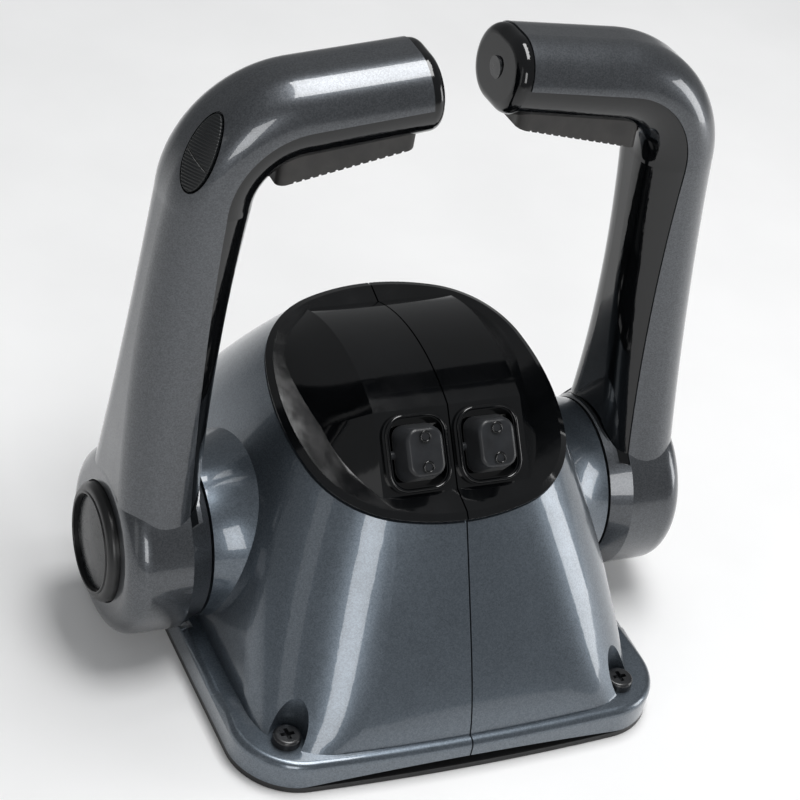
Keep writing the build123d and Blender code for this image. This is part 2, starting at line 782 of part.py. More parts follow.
with BuildPart() as trigger:
    with BuildSketch(Plane.XZ):
        with BuildLine():
            Polyline(
                under_grip(trigger_inner_end, trigger_top),
                under_grip(trigger_outer_end, trigger_top),
                under_grip(trigger_outer_end, -trigger_drop_root),
                under_grip(trigger_inner_end, -trigger_drop),
                under_grip(trigger_inner_end, trigger_top),
            )
        make_face()
    extrude(amount=trigger_width / 2, both=True)
    with BuildPart(mode=Mode.PRIVATE) as plan:
        with BuildSketch(Plane.XY):
            add(trigger_outline(0))
        extrude(amount=2 * bend_z)
    add(plan.part, mode=Mode.INTERSECT)
    # Grip ribs across the underside
    rib_count = int((trigger_outer_end - trigger_inner_end - 2 * trigger_corner_r) / trigger_rib_pitch)
    with BuildSketch(Plane.XZ.offset(-trigger_width / 2)):
        for rib in range(rib_count):
            x = trigger_inner_end + trigger_corner_r + (rib + 0.5) * trigger_rib_pitch
            share = (x - trigger_inner_end) / (trigger_outer_end - trigger_inner_end)
            with Locations(under_grip(x, -trigger_drop - (trigger_drop_root - trigger_drop) * share)):
                Circle(trigger_rib_r)
    extrude(amount=trigger_width, mode=Mode.SUBTRACT)
finish_lever_pair(trigger, "trigger")

# Hub button: rubber-covered ring with a plain disc in it
button_face_x = hub_outer_x + button_proud
with BuildPart() as hub_button:
    add(tube_along_x(button_face_x - button_t, button_face_x, button_r, 0, 0))
    fillet(hub_button.edges().filter_by(GeomType.CIRCLE).sort_by(Axis.X)[-1], button_edge_r)
    add(
        tube_along_x(button_face_x - button_disc_drop - button_disc_t, button_face_x + 1, button_disc_r, 0, 0),
        mode=Mode.SUBTRACT,
    )
    add(tube_along_x(button_face_x - button_t - button_stem_length, button_face_x - button_t, button_stem_r, 0, 0))
finish_lever_pair(hub_button, "hub_button")

with BuildPart() as button_disc:
    disc_x = button_face_x - button_disc_drop
    add(tube_along_x(disc_x - button_disc_t, disc_x, button_disc_r, 0, 0))
finish_lever_pair(button_disc, "button_disc")


# Trim rocker: an oval across the knuckle of the port lever only
def trim_plane():
    """The plane through the trim rocker's middle; x runs across its oval, y along it, z out of the lever."""
    slope, turn = radians(trim_slope), radians(trim_turn)
    outward = (cos(turn) * cos(slope), -sin(turn) * cos(slope), sin(slope))
    return Plane(origin=(trim_x, trim_y, trim_z), x_dir=(sin(turn), cos(turn), 0), z_dir=outward)


def trim_oval(gap, depth_from, depth_to):
    """An oval block on the trim rocker's plane, grown by gap; depths run inwards."""
    with BuildPart() as block:
        with BuildSketch(trim_plane().offset(-depth_to)):
            Ellipse(trim_width / 2 + gap, trim_length / 2 + gap)
        extrude(amount=depth_to - depth_from)
    return block.part


def trim_pin(clearance):
    """The trim rocker's pin across the oval, or its bearing when given a clearance."""
    reach = trim_width / 2 + trim_gap + trim_pin_reach + clearance
    at_depth = trim_plane().offset(-trim_pin_depth)
    across = Plane(origin=at_depth.origin, x_dir=at_depth.z_dir, z_dir=at_depth.x_dir)
    with BuildPart() as pin:
        with BuildSketch(across.offset(-reach)):
            Circle(trim_pin_r + clearance)
        extrude(amount=2 * reach)
    return pin.part


with BuildPart() as trim_rocker:
    add(lever_form(-trim_proud))
    add(trim_oval(0, -2 * trim_depth, trim_body), mode=Mode.INTERSECT)
    fillet(trim_rocker.edges().filter_by(GeomType.BSPLINE), trim_edge_r)
    add(trim_pin(0))

# The port lever's shell has the rocker's pocket
with BuildPart() as port_shell:
    add(shell.part)
    with BuildPart(mode=Mode.PRIVATE) as backing:
        add(trim_oval(trim_gap + trim_backing, -2 * trim_depth, trim_depth + trim_backing))
        add(lever_form(arm_wall / 2), mode=Mode.INTERSECT)
    add(backing.part)
    add(trim_oval(trim_gap, -2 * trim_depth, trim_depth), mode=Mode.SUBTRACT)
    add(trim_pin(run_fit), mode=Mode.SUBTRACT)
finish_lever(port_shell, "left_lever_shell", -1)
finish_lever(trim_rocker, "trim_rocker", -1)


# ---------------------------------------------------------------- shafts and gears
def gear(teeth, x, bore_r):
    """A spur gear on the X axis from x, its teeth with involute flanks."""
    pitch_r = gear_module * teeth / 2
    base_r = pitch_r * cos(radians(pressure_angle))
    tip_r = pitch_r + gear_module
    root_r = pitch_r - root_depth * gear_module

    def half_angle(r):
        at = acos(min(1.0, base_r / r))
        at_pitch = radians(pressure_angle)
        thick = (pi / 2 - gear_backlash / gear_module) / teeth
        return thick + (tan(at_pitch) - at_pitch) - (tan(at) - at)

    radii = (root_r - gear_module / 2, max(root_r, base_r), pitch_r, tip_r)
    flank = [(r * cos(half_angle(r)), r * sin(half_angle(r))) for r in radii]
    with BuildSketch() as tooth:
        with BuildLine():
            Polyline(*flank, *[(y, -z) for y, z in reversed(flank)], flank[0])
        make_face()
    with BuildPart() as wheel:
        with BuildSketch(Plane.YZ.offset(x)):
            Circle(root_r)
            with PolarLocations(0, teeth):
                add(tooth.sketch)
            Circle(bore_r, mode=Mode.SUBTRACT)
        extrude(amount=gear_t)
    return wheel.part


with BuildPart() as drive_gear:
    add(gear(drive_teeth, gear_x, shaft_r))
finish_hub_pair(drive_gear, "drive_gear")

with BuildPart() as lever_shaft:
    add(tube_along_x(shaft_start_x, boss_face_x, shaft_r, 0, 0))
    add(tube_along_x(boss_face_x, shaft_end_x, inner_shaft_r, 0, 0))
finish_hub_pair(lever_shaft, "lever_shaft")

# Driven gears with their cable links: throttle in front, shift behind
for link_name, side in (("throttle", -1), ("shift", 1)):
    axis_y = side * driven_y
    with BuildPart() as driven_gear:
        with Locations(Location((0, axis_y, driven_z), (mesh_turn(side), 0, 0))):
            add(gear(driven_teeth, gear_x, arbor_r + run_fit))
    finish_pair(driven_gear, link_name + "_gear")
    splay = radians(link_splay)
    end_y = axis_y + side * link_length * sin(splay)
    end_z = driven_z - link_length * cos(splay)
    with BuildPart() as link:
        with BuildSketch(Plane.YZ.offset(gear_end_x)):
            with Locations((axis_y, driven_z)):
                Circle(gear_hub_r)
            with Locations((end_y, end_z)):
                Circle(link_half_width)
            make_hull()
            with Locations((axis_y, driven_z)):
                Circle(arbor_r + run_fit, mode=Mode.SUBTRACT)
        extrude(amount=link_t)
        add(tube_along_x(gear_end_x + link_t, gear_end_x + link_t + cable_pin_length, cable_pin_r, end_y, end_z))
    finish_pair(link, link_name + "_link")

with BuildPart() as mechanism_plate:
    with BuildSketch(Plane.YZ.offset(plate_x)):
        for y, z in (*post_places(), (-driven_y, driven_z), (driven_y, driven_z)):
            with Locations((y, z)):
                Circle(plate_lobe_r)
        make_hull()
        for y, z in post_places():
            with Locations((y, z)):
                Circle(post_screw_r, mode=Mode.SUBTRACT)
        with Locations((0, hub_height)):
            Circle(shaft_bore_r, mode=Mode.SUBTRACT)
    extrude(amount=plate_t)
    for y in (-driven_y, driven_y):
        add(tube_along_x(plate_x, gear_end_x + link_t + 1, arbor_r, y, driven_z))
        add(tube_along_x(plate_x, gear_x - arbor_shoulder_gap, arbor_r + arbor_shoulder, y, driven_z))
finish_pair(mechanism_plate, "mechanism_plate")

with BuildPart() as plate_screws:
    for y, z in post_places():
        add(tube_along_x(plate_x - post_screw_head_t, plate_x, post_screw_head_r, y, z))
        add(tube_along_x(plate_x, plate_x + post_screw_length, post_screw_r, y, z))
finish_pair(plate_screws, "plate_screws")

# Detent that holds the lever in neutral, ahead and astern
with BuildPart() as detent:
    tooth_tip_z = hub_height - gear_module * (drive_teeth / 2 + 1)
    with Locations((plate_x + plate_t, 0, tooth_tip_z - detent_gap - detent_ball_r)):
        Box(*detent_block, align=(Align.MIN, Align.CENTER, Align.MAX))
    with Locations((gear_x + gear_t / 2, 0, tooth_tip_z - detent_gap - detent_ball_r)):
        Sphere(detent_ball_r)
finish_pair(detent, "detent")

with BuildPart() as neutral_switch:
    with Locations((plate_x + plate_t, switch_y, switch_z)):
        Box(*switch_body, align=(Align.MIN, Align.CENTER, Align.CENTER))
    with BuildSketch(Plane.XY.offset(switch_z + switch_body[2] / 2)):
        with Locations((plate_x + plate_t + switch_body[0] / 2, switch_y)):
            Circle(switch_button_r)
    extrude(amount=switch_button_t)
finish_pair(neutral_switch, "neutral_switch")
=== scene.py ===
# %% [markdown]
# # A twin-lever boat control, dressed for its picture
#
# The CAD model gives every solid its shape and place. Blender adds what a drawing can't hold: lacquer,
# polished and moulded plastic, rubber, cut steel, and a few small surfaces such as beads and lips. Everything
# is in metres and in the CAD frame: +X is starboard, +Y is ahead, +Z is up, and the origin lies on the deck.

# %% Load the frame
import bmesh
import bpy
import json
import numpy as np
from mathutils import Matrix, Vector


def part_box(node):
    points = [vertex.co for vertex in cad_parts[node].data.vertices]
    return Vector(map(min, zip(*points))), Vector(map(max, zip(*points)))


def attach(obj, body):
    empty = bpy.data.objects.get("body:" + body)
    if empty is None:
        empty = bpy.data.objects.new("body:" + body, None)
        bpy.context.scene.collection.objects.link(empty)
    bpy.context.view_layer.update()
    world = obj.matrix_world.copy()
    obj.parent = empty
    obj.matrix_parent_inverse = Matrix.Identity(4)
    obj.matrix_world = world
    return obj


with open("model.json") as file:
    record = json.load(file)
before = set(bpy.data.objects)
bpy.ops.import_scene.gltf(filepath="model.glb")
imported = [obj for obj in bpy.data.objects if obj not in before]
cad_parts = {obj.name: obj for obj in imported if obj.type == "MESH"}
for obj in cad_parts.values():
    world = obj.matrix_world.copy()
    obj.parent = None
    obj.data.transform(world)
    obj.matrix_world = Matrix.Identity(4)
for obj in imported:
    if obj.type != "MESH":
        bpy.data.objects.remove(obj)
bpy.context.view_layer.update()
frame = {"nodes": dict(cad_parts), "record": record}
MM = 0.001

# %% [markdown]
# The new shapes are grids: a function gives a point for each pair of parameters, numpy works out the whole
# grid at once, and the grid becomes a mesh of quads. Modifiers could build such shapes too, but a formula
# keeps every size exact. A ring closes in one direction or in both, so its seam needs no merging.

# %% A mesh from a grid of points
def turn_outward(mesh):
    """Make every face of a closed mesh look outwards."""
    work = bmesh.new()
    work.from_mesh(mesh)
    bmesh.ops.recalc_face_normals(work, faces=work.faces)
    work.to_mesh(mesh)
    work.free()


def grid_object(name, points, close_u=False, close_v=False, cap=False):
    """points[u, v] is a grid of places; neighbours become quads, and cap fills the first and last rows."""
    rows, columns = points.shape[:2]
    index = np.arange(rows * columns).reshape(rows, columns)
    corners = np.vstack([index, index[:1]]) if close_u else index
    corners = np.hstack([corners, corners[:, :1]]) if close_v else corners
    quads = np.stack([corners[:-1, :-1], corners[1:, :-1], corners[1:, 1:], corners[:-1, 1:]], axis=-1)
    faces = quads.reshape(-1, 4).tolist()
    if cap:
        faces += [index[0].tolist(), index[-1][::-1].tolist()]
    mesh = bpy.data.meshes.new(name)
    mesh.from_pydata(points.reshape(-1, 3).tolist(), [], faces)
    mesh.shade_smooth()
    turn_outward(mesh)
    made = bpy.data.objects.new(name, mesh)
    bpy.context.scene.collection.objects.link(made)
    print(name, "has", len(faces), "faces")
    return made


# %% [markdown]
# Colours are written as the hex values that a paint chart gives. Blender works in linear light, so one
# function turns them. Another adds a node: settings are its properties, and inputs are numbers or links.
# Nodes could also be placed by hand in the editor, but a few lines of code can be read and changed later.

# %% Colour and node helpers
def colour(hex_value):
    """Linear RGBA of an sRGB hex value, by the sRGB curve."""
    srgb = np.array([int(hex_value[i:i + 2], 16) for i in (1, 3, 5)]) / 255
    linear = np.where(srgb <= 0.04045, srgb / 12.92, ((srgb + 0.055) / 1.055) ** 2.4)
    return (*linear.tolist(), 1.0)


def add_node(tree, kind, inputs=None, **settings):
    """Add a node of that kind with its settings; inputs that are sockets are linked."""
    made = tree.nodes.new(kind)
    for name, value in settings.items():
        setattr(made, name, value)
    for name, value in (inputs or {}).items():
        if isinstance(value, bpy.types.NodeSocket):
            tree.links.new(value, made.inputs[name])
        else:
            made.inputs[name].default_value = value
    return made


def new_material(name):
    """An empty node material; returns it, its tree and the surface's Object coordinates."""
    material = bpy.data.materials.new(name)
    material.use_nodes = True
    material.node_tree.nodes.clear()
    where = add_node(material.node_tree, "ShaderNodeTexCoord").outputs["Object"]
    return material, material.node_tree, where


def finish_surface(tree, inputs):
    """End a material's tree with one Principled surface that has these numbers and links."""
    shader = add_node(tree, "ShaderNodeBsdfPrincipled", inputs)
    add_node(tree, "ShaderNodeOutputMaterial", {"Surface": shader.outputs["BSDF"]})


print("a mid grey of #808080 is", round(colour("#808080")[0], 3), "in linear light")

# %% [markdown]
# No real surface is the same all over: hands, moulds and spray guns leave soft blotches. Noise gives them at
# a real size, and its middle part is stretched so that the blotches run from one value to the other.

# %% Soft blotches
NOISE_MIDDLE = (0.3, 0.7)


def mottle(tree, where, size, low, high, detail=3.0):
    """Noise with blotches of that size in metres, from low to high."""
    noise = add_node(tree, "ShaderNodeTexNoise", {"Vector": where, "Scale": 1 / size, "Detail": detail})
    stretched = add_node(tree, "ShaderNodeMapRange", {
        "Value": noise.outputs["Fac"], "From Min": NOISE_MIDDLE[0], "From Max": NOISE_MIDDLE[1],
        "To Min": low, "To Max": high})
    return stretched.outputs["Result"]


print("blotches use noise from", NOISE_MIDDLE[0], "to", NOISE_MIDDLE[1])

# %% [markdown]
# The housing and the lever shells are die-cast aluminium under a metallic lacquer: a grey base coat with
# aluminium flake, then a clear coat. A painted image could show the flake, but a Voronoi pattern stays sharp
# at any size: each cell is a flake with its own tone and tilt. Flake makes the colour glitter grain by grain
# and gives broad, soft highlights, and the clear coat adds a thin sharp one. Real flake is 0.03 mm wide. It
# is drawn at 0.35 mm so that it shows.

# %% Metallic grey lacquer
FLAKE_WIDTH = 0.35 * MM
FLAKE_RELIEF = 0.006 * MM


def metallic_lacquer(name, dark, light):
    """Metallic lacquer: a Voronoi cell for each flake, and a clear coat over it."""
    material, tree, where = new_material(name)
    flakes = add_node(tree, "ShaderNodeTexVoronoi", {"Vector": where, "Scale": 1 / FLAKE_WIDTH})
    tone = add_node(tree, "ShaderNodeSeparateColor", {"Color": flakes.outputs["Color"]}).outputs["Red"]
    base = add_node(tree, "ShaderNodeMix", {"Factor": tone, "A": colour(dark), "B": colour(light)},
                    data_type="RGBA")
    tilt = add_node(tree, "ShaderNodeBump", {"Height": tone, "Distance": FLAKE_RELIEF, "Strength": 0.14})
    finish_surface(tree, {
        "Base Color": base.outputs["Result"], "Metallic": 0.8,
        "Roughness": mottle(tree, where, size=9 * MM, low=0.32, high=0.37), "Normal": tilt.outputs["Normal"],
        "Coat Weight": 0.9, "Coat Roughness": 0.04, "Coat IOR": 1.5})
    return material


print("flake is drawn", FLAKE_WIDTH, "m wide")

# %% [markdown]
# The top cover and the levers' inner covers are polished black ABS. A moulded gloss surface isn't optically
# flat: it has a faint long ripple, called orange peel, and a few dull touches where hands rub it. A plain
# glossy black would look like glass. The disc in each hub button is acrylic, dark grey under a clear dome.

# %% Polished black plastic
ORANGE_PEEL = 4 * MM
ORANGE_PEEL_DEPTH = 0.012 * MM


def polished_plastic():
    """Gloss black ABS: near-mirror with orange peel and faint handling marks."""
    material, tree, where = new_material("polished_black_abs")
    shade = mottle(tree, where, size=14 * MM, low=0, high=1)
    base = add_node(tree, "ShaderNodeMix", {"Factor": shade, "A": colour("#040506"), "B": colour("#08090b")},
                    data_type="RGBA")
    ripple = mottle(tree, where, size=ORANGE_PEEL, low=0, high=1, detail=1.0)
    relief = add_node(tree, "ShaderNodeBump", {
        "Height": ripple, "Distance": ORANGE_PEEL_DEPTH, "Strength": 0.5})
    finish_surface(tree, {
        "Base Color": base.outputs["Result"], "IOR": 1.53,
        "Roughness": mottle(tree, where, size=11 * MM, low=0.05, high=0.11),
        "Normal": relief.outputs["Normal"]})
    return material


def glossy_disc():
    """Dark grey acrylic with a soft gloss."""
    material, tree, where = new_material("dark_grey_acrylic")
    shade = mottle(tree, where, size=6 * MM, low=0, high=1)
    base = add_node(tree, "ShaderNodeMix", {"Factor": shade, "A": colour("#141618"), "B": colour("#1b1e20")},
                    data_type="RGBA")
    finish_surface(tree, {
        "Base Color": base.outputs["Result"], "IOR": 1.45,
        "Roughness": mottle(tree, where, size=5 * MM, low=0.22, high=0.3)})
    return material


print("orange peel is", ORANGE_PEEL, "m from crest to crest")

# %% [markdown]
# The triggers, detents and switch bodies are moulded plastic with a spark-eroded texture: a fine even grain
# that breaks every highlight. A rough shader alone would look like chalk, so the grain is in the relief. Real
# grain is about 0.1 mm. It is drawn at 0.4 to 0.6 mm so that it shows. Rubber is duller still, and a little
# sheeny where the eye only grazes it.

# %% Moulded plastics and rubbers
def grained(name, dark, light, grain, depth, rough, ior, sheen=0.0):
    """A dull moulded surface with an even grain of that size and depth in metres."""
    material, tree, where = new_material(name)
    shade = mottle(tree, where, size=7 * MM, low=0, high=1)
    base = add_node(tree, "ShaderNodeMix", {"Factor": shade, "A": colour(dark), "B": colour(light)},
                    data_type="RGBA")
    pits = add_node(tree, "ShaderNodeTexVoronoi", {"Vector": where, "Scale": 1 / grain}, feature="SMOOTH_F1")
    relief = add_node(tree, "ShaderNodeBump", {
        "Height": pits.outputs["Distance"], "Distance": depth, "Strength": 0.6})
    finish_surface(tree, {
        "Base Color": base.outputs["Result"], "IOR": ior,
        "Roughness": mottle(tree, where, size=3 * MM, low=rough[0], high=rough[1]),
        "Normal": relief.outputs["Normal"], "Sheen Weight": sheen, "Sheen Roughness": 0.4})
    return material


# %% [markdown]
# Shafts, gears and links are bare metal. Turning, cutting and rolling leave fine lines. They could be an
# anisotropic shader, but then they would have no width. Noise that is squeezed along X and drawn out across
# it gives them one: rings on the turned shafts, and straight lines across the flat pieces. Real tool lines
# are 0.1 mm apart. They are drawn 0.3 mm apart so that they show.

# %% Machined metals
TOOL_LINE = 0.3 * MM
LINE_LENGTH = 25 * MM


def machined(name, dark, light, rough):
    """Bare metal with fine tool lines at right angles to X."""
    material, tree, where = new_material(name)
    squeezed = add_node(tree, "ShaderNodeMapping", {
        "Vector": where, "Scale": (1 / TOOL_LINE, 1 / LINE_LENGTH, 1 / LINE_LENGTH)}).outputs["Vector"]
    noise = add_node(tree, "ShaderNodeTexNoise", {"Vector": squeezed, "Scale": 1.0, "Detail": 2.0})
    lines = noise.outputs["Fac"]
    base = add_node(tree, "ShaderNodeMix", {"Factor": lines, "A": colour(dark), "B": colour(light)},
                    data_type="RGBA")
    relief = add_node(tree, "ShaderNodeBump", {"Height": lines, "Distance": 0.02 * MM, "Strength": 0.5})
    finish_surface(tree, {
        "Base Color": base.outputs["Result"], "Metallic": 1.0,
        "Roughness": mottle(tree, where, size=5 * MM, low=rough[0], high=rough[1]),
        "Normal": relief.outputs["Normal"]})
    return material


print("tool lines are", TOOL_LINE, "m apart")

# %% [markdown]
# The trim rocker is soft-touch rubber with fine cross ribs for the thumb and a slanting groove that parts
# "up" from "down". Both follow the rocker's own directions, not the world's: a dot product gives how far a
# point lies along the oval and across it. The ribs are a sine wave of that distance, and the groove is where
# a slanted distance is near zero. They are under half a millimetre deep, so relief in the shading draws them.

# %% Ribbed trim rocker
TRIM_MIDDLE = (-86.2 * MM, -1.46 * MM, 185.62 * MM)
TRIM_ALONG = (0.3676, 0.2793, 0.8870)
TRIM_ACROSS = (-0.5446, 0.8378, -0.0380)
RIB_PITCH = 0.95 * MM
RIB_SHARE = 0.25
GROOVE_SLANT = -0.5
GROOVE_OFFSET = 2.4 * MM
GROOVE_HALF_WIDTHS = (0.25 * MM, 0.45 * MM)
GROOVE_DEPTH = 0.35 * MM


def distance_along(tree, where, direction):
    """How far a point lies from the rocker's middle in that direction, in metres."""
    offset = add_node(tree, "ShaderNodeVectorMath", {0: where, 1: TRIM_MIDDLE}, operation="SUBTRACT")
    dot = add_node(tree, "ShaderNodeVectorMath", {0: offset.outputs["Vector"], 1: direction},
                   operation="DOT_PRODUCT")
    return dot.outputs["Value"]


def rocker_ribs(tree, along):
    """Height of the ribs: 1 - share + share x sin(2 pi x distance / pitch)."""
    angle = add_node(tree, "ShaderNodeMath", {0: along, 1: 2 * np.pi / RIB_PITCH}, operation="MULTIPLY")
    wave = add_node(tree, "ShaderNodeMath", {0: angle.outputs["Value"]}, operation="SINE")
    ribs = add_node(tree, "ShaderNodeMath", {0: wave.outputs["Value"], 1: RIB_SHARE, 2: 1 - RIB_SHARE},
                    operation="MULTIPLY_ADD")
    return ribs.outputs["Value"]


def rocker_groove(tree, along, across):
    """0 in the groove and 1 outside it, where the groove's line is along + slant x across + offset = 0."""
    slanted = add_node(tree, "ShaderNodeMath", {0: across, 1: GROOVE_SLANT, 2: along},
                       operation="MULTIPLY_ADD")
    shifted = add_node(tree, "ShaderNodeMath", {0: slanted.outputs["Value"], 1: GROOVE_OFFSET},
                       operation="ADD")
    distance = add_node(tree, "ShaderNodeMath", {0: shifted.outputs["Value"]}, operation="ABSOLUTE")
    groove = add_node(tree, "ShaderNodeMapRange", {
        "Value": distance.outputs["Value"],
        "From Min": GROOVE_HALF_WIDTHS[0], "From Max": GROOVE_HALF_WIDTHS[1]})
    return groove.outputs["Result"]


def ribbed_rocker():
    """Dark soft-touch rubber whose height is ribs x groove; crests get a painted highlight, troughs and
    groove a painted shade.
    """
    material, tree, where = new_material("ribbed_rubber_rocker")
    along = distance_along(tree, where, TRIM_ALONG)
    across = distance_along(tree, where, TRIM_ACROSS)
    height = add_node(tree, "ShaderNodeMath", {
        0: rocker_ribs(tree, along), 1: rocker_groove(tree, along, across)},
        operation="MULTIPLY").outputs["Value"]
    # The colour follows the height: painted highlight on the rib crests, painted shade in the troughs and the
    # groove.
    base = add_node(tree, "ShaderNodeMix", {"Factor": height, "A": colour("#030404"), "B": colour("#111416")},
                    data_type="RGBA")
    relief = add_node(tree, "ShaderNodeBump", {"Height": height, "Distance": GROOVE_DEPTH, "Strength": 1.0})
    finish_surface(tree, {
        "Base Color": base.outputs["Result"], "IOR": 1.45,
        "Roughness": mottle(tree, where, size=3 * MM, low=0.4, high=0.5), "Normal": relief.outputs["Normal"]})
    return material


print("ribs are", RIB_PITCH, "m apart")

# %% [markdown]
# Every solid names a material slot in the record, so one table of finishes dresses them all. Naming each by
# hand would need a line for each of the 48. The housings take a bluer, lighter copy of the levers' lacquer.

# %% Rubber and plastic finishes
finishes = {
    # Gloss parts: deep black with sharp reflections, and a dark grey disc.
    "black_gloss": polished_plastic(),
    "disc_plastic": glossy_disc(),
    # Nitrile rubber, moulded: nearly black and dull, with a breath of sheen.
    "base_rubber": grained("nitrile_rubber_gasket", "#0d0d0e", "#141415", grain=0.5 * MM, depth=0.03 * MM,
                           rough=(0.5, 0.62), ior=1.52, sheen=0.1),
    "seal_rubber": grained("nitrile_rubber_seal", "#0c0c0d", "#121213", grain=0.4 * MM, depth=0.02 * MM,
                           rough=(0.42, 0.52), ior=1.52, sheen=0.1),
    # Satin rubber rings round the hub discs: black with a soft broad highlight.
    "button_rubber": grained("satin_rubber_button", "#0d0e0f", "#141516", grain=0.4 * MM, depth=0.01 * MM,
                             rough=(0.3, 0.4), ior=1.52, sheen=0.1),
    # Silicone rubber switches: a shade lighter than the cover round them.
    "switch_rubber": grained("silicone_rubber_switch", "#1b1c1e", "#25272a", grain=0.4 * MM, depth=0.01 * MM,
                             rough=(0.28, 0.38), ior=1.43, sheen=0.1),
    "rocker_rubber": ribbed_rocker(),
    # Glass-filled nylon triggers: a warm dull grey-black.
    "trigger_plastic": grained("glass_filled_nylon", "#252423", "#312f2d", grain=0.5 * MM, depth=0.03 * MM,
                               rough=(0.45, 0.58), ior=1.53),
    # PBT switch bodies: an even dark grey.
    "module_plastic": grained("moulded_black_pbt", "#161617", "#1e1e20", grain=0.5 * MM, depth=0.02 * MM,
                              rough=(0.4, 0.5), ior=1.5),
    # Natural acetal bushes: off-white and waxy.
    "bush_plastic": grained("natural_acetal", "#d6d2c6", "#e2dfd5", grain=0.6 * MM, depth=0.01 * MM,
                            rough=(0.3, 0.42), ior=1.48),
    # Black oxide on steel screws: a thin dark skin that still shines a little.
    "black_screw": grained("black_oxide_screw", "#111214", "#1b1d20", grain=0.5 * MM, depth=0.01 * MM,
                           rough=(0.25, 0.36), ior=1.6),
}
print(len(finishes), "rubber and plastic finishes")

# %% [markdown]
# The metals differ in tone and in how far their lines scatter the light. Zinc is a little blue and bright,
# stainless strip a little yellow, and rolled aluminium the palest.

# %% Metal and lacquer finishes
finishes["steel_screw"] = machined("zinc_plated_steel", "#a4a6a8", "#bcbec0", rough=(0.25, 0.35))
finishes["shaft_steel"] = machined("turned_stainless", "#9c9d9f", "#b8babc", rough=(0.2, 0.3))
finishes["gear_steel"] = machined("cut_gear_steel", "#85878a", "#a0a2a5", rough=(0.28, 0.4))
finishes["link_metal"] = machined("pressed_stainless", "#a39f94", "#b9b5aa", rough=(0.25, 0.38))
finishes["plate_metal"] = machined("rolled_aluminium", "#aeb1b4", "#c3c6c9", rough=(0.3, 0.42))
finishes["grey_paint"] = metallic_lacquer("metallic_grey_lacquer_levers", "#43464a", "#56595d")
housing_lacquer = metallic_lacquer("metallic_grey_lacquer_housing", "#515961", "#656e77")

slot_of = {entry["node"]: entry["material_slot"] for entry in frame["record"]["subparts"]}
for node_name, node_object in frame["nodes"].items():
    is_housing = node_name.endswith("housing")
    node_object.data.materials.clear()
    node_object.data.materials.append(housing_lacquer if is_housing else finishes[slot_of[node_name]])
print(len(finishes), "finishes on", len(slot_of), "nodes")

# %% [markdown]
# Each switch looks out of a window in the cover, and a moulded bead runs round that window. Each rocker has
# two raised dots that the thumb can feel, each with a glossy rim. A bevel on the CAD solid would round its
# edges but add no bead, so each is a thin tube: a circle carried round a path, place + r (cos a N + sin a B),
# where N looks out of the path in its plane and B is the plane's normal.

# %% The switches' sloping pad
PAD_MIDDLE = np.array([0.0, -34.5, 89.0]) * MM
PAD_RISE, PAD_RUN = 20.8, 18.2
PAD_ANGLE = np.arctan2(PAD_RISE, PAD_RUN)
PAD_UP = np.array([0.0, np.cos(PAD_ANGLE), np.sin(PAD_ANGLE)])
PAD_NORMAL = np.array([0.0, -np.sin(PAD_ANGLE), np.cos(PAD_ANGLE)])
SIDEWAYS = np.array([1.0, 0.0, 0.0])
SWITCH_X = 12.45 * MM
BEZEL_HEIGHT, FACE_HEIGHT = 1.0 * MM, 7.9 * MM
print("the pad slopes", round(float(np.degrees(PAD_ANGLE)), 1), "degrees")


# %% A bead along a rounded rectangle
def rounded_path(width, length, corner_r, steps=12):
    """Places and outward directions round a rounded rectangle: corner + r (cos t, sin t) at each corner."""
    quarter = np.repeat(np.arange(4), steps + 1)
    angle = (quarter + np.tile(np.linspace(0, 1, steps + 1), 4)) * np.pi / 2
    signs = np.array([[1, 1], [-1, 1], [-1, -1], [1, -1]])[quarter]
    outward = np.stack([np.cos(angle), np.sin(angle)], axis=1)
    return signs * (np.array([width, length]) / 2 - corner_r) + corner_r * outward, outward


def bead(name, middle, width, length, corner_r, bead_r, body, slot):
    """A closed tube on the pad, place + r (cos a N + sin a B), round a rounded rectangle."""
    flat, outward = rounded_path(width, length, corner_r)
    turn = np.linspace(0, 2 * np.pi, 17)[:-1]
    in_plane = flat[:, None, :] + bead_r * np.cos(turn)[None, :, None] * outward[:, None, :]
    points = (middle + in_plane[..., :1] * SIDEWAYS + in_plane[..., 1:] * PAD_UP
              + (bead_r * np.sin(turn))[None, :, None] * PAD_NORMAL)
    made = grid_object(name, points, close_u=True, close_v=True)
    made.data.materials.append(finishes[slot])
    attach(made, body)


# %% Window beads and dot rims
WINDOW_WIDTH, WINDOW_LENGTH, WINDOW_CORNER_R = 20.4 * MM, 23.4 * MM, 6.0 * MM
WINDOW_BEAD_R = 0.65 * MM
DOT_R, DOT_RIM_R, DOT_FROM_MIDDLE = 1.6 * MM, 0.35 * MM, 4.8 * MM

for side, sign in (("left", -1), ("right", 1)):
    pad = PAD_MIDDLE + sign * SWITCH_X * SIDEWAYS
    bead(side + "_window_bead", pad + BEZEL_HEIGHT * PAD_NORMAL, WINDOW_WIDTH, WINDOW_LENGTH, WINDOW_CORNER_R,
         WINDOW_BEAD_R, "base", "black_gloss")
    for place, offset in (("ahead", DOT_FROM_MIDDLE), ("astern", -DOT_FROM_MIDDLE)):
        dot_middle = pad + FACE_HEIGHT * PAD_NORMAL + offset * PAD_UP
        bead(side + "_dot_rim_" + place, dot_middle, 2 * DOT_R, 2 * DOT_R, DOT_R, DOT_RIM_R,
             side + "_switch_rocker", "black_gloss")

# %% [markdown]
# Each hub button is a rubber cup with a disc in it. The cup's edge ends in a rounded lip, and the disc lies
# under a shallow clear dome, whose skirt goes a little way into it so that no gap shows. Both are turned
# shapes, so each is a profile carried round the lever's axis. A Screw modifier would do that too, but its
# pole and seam would need merging.

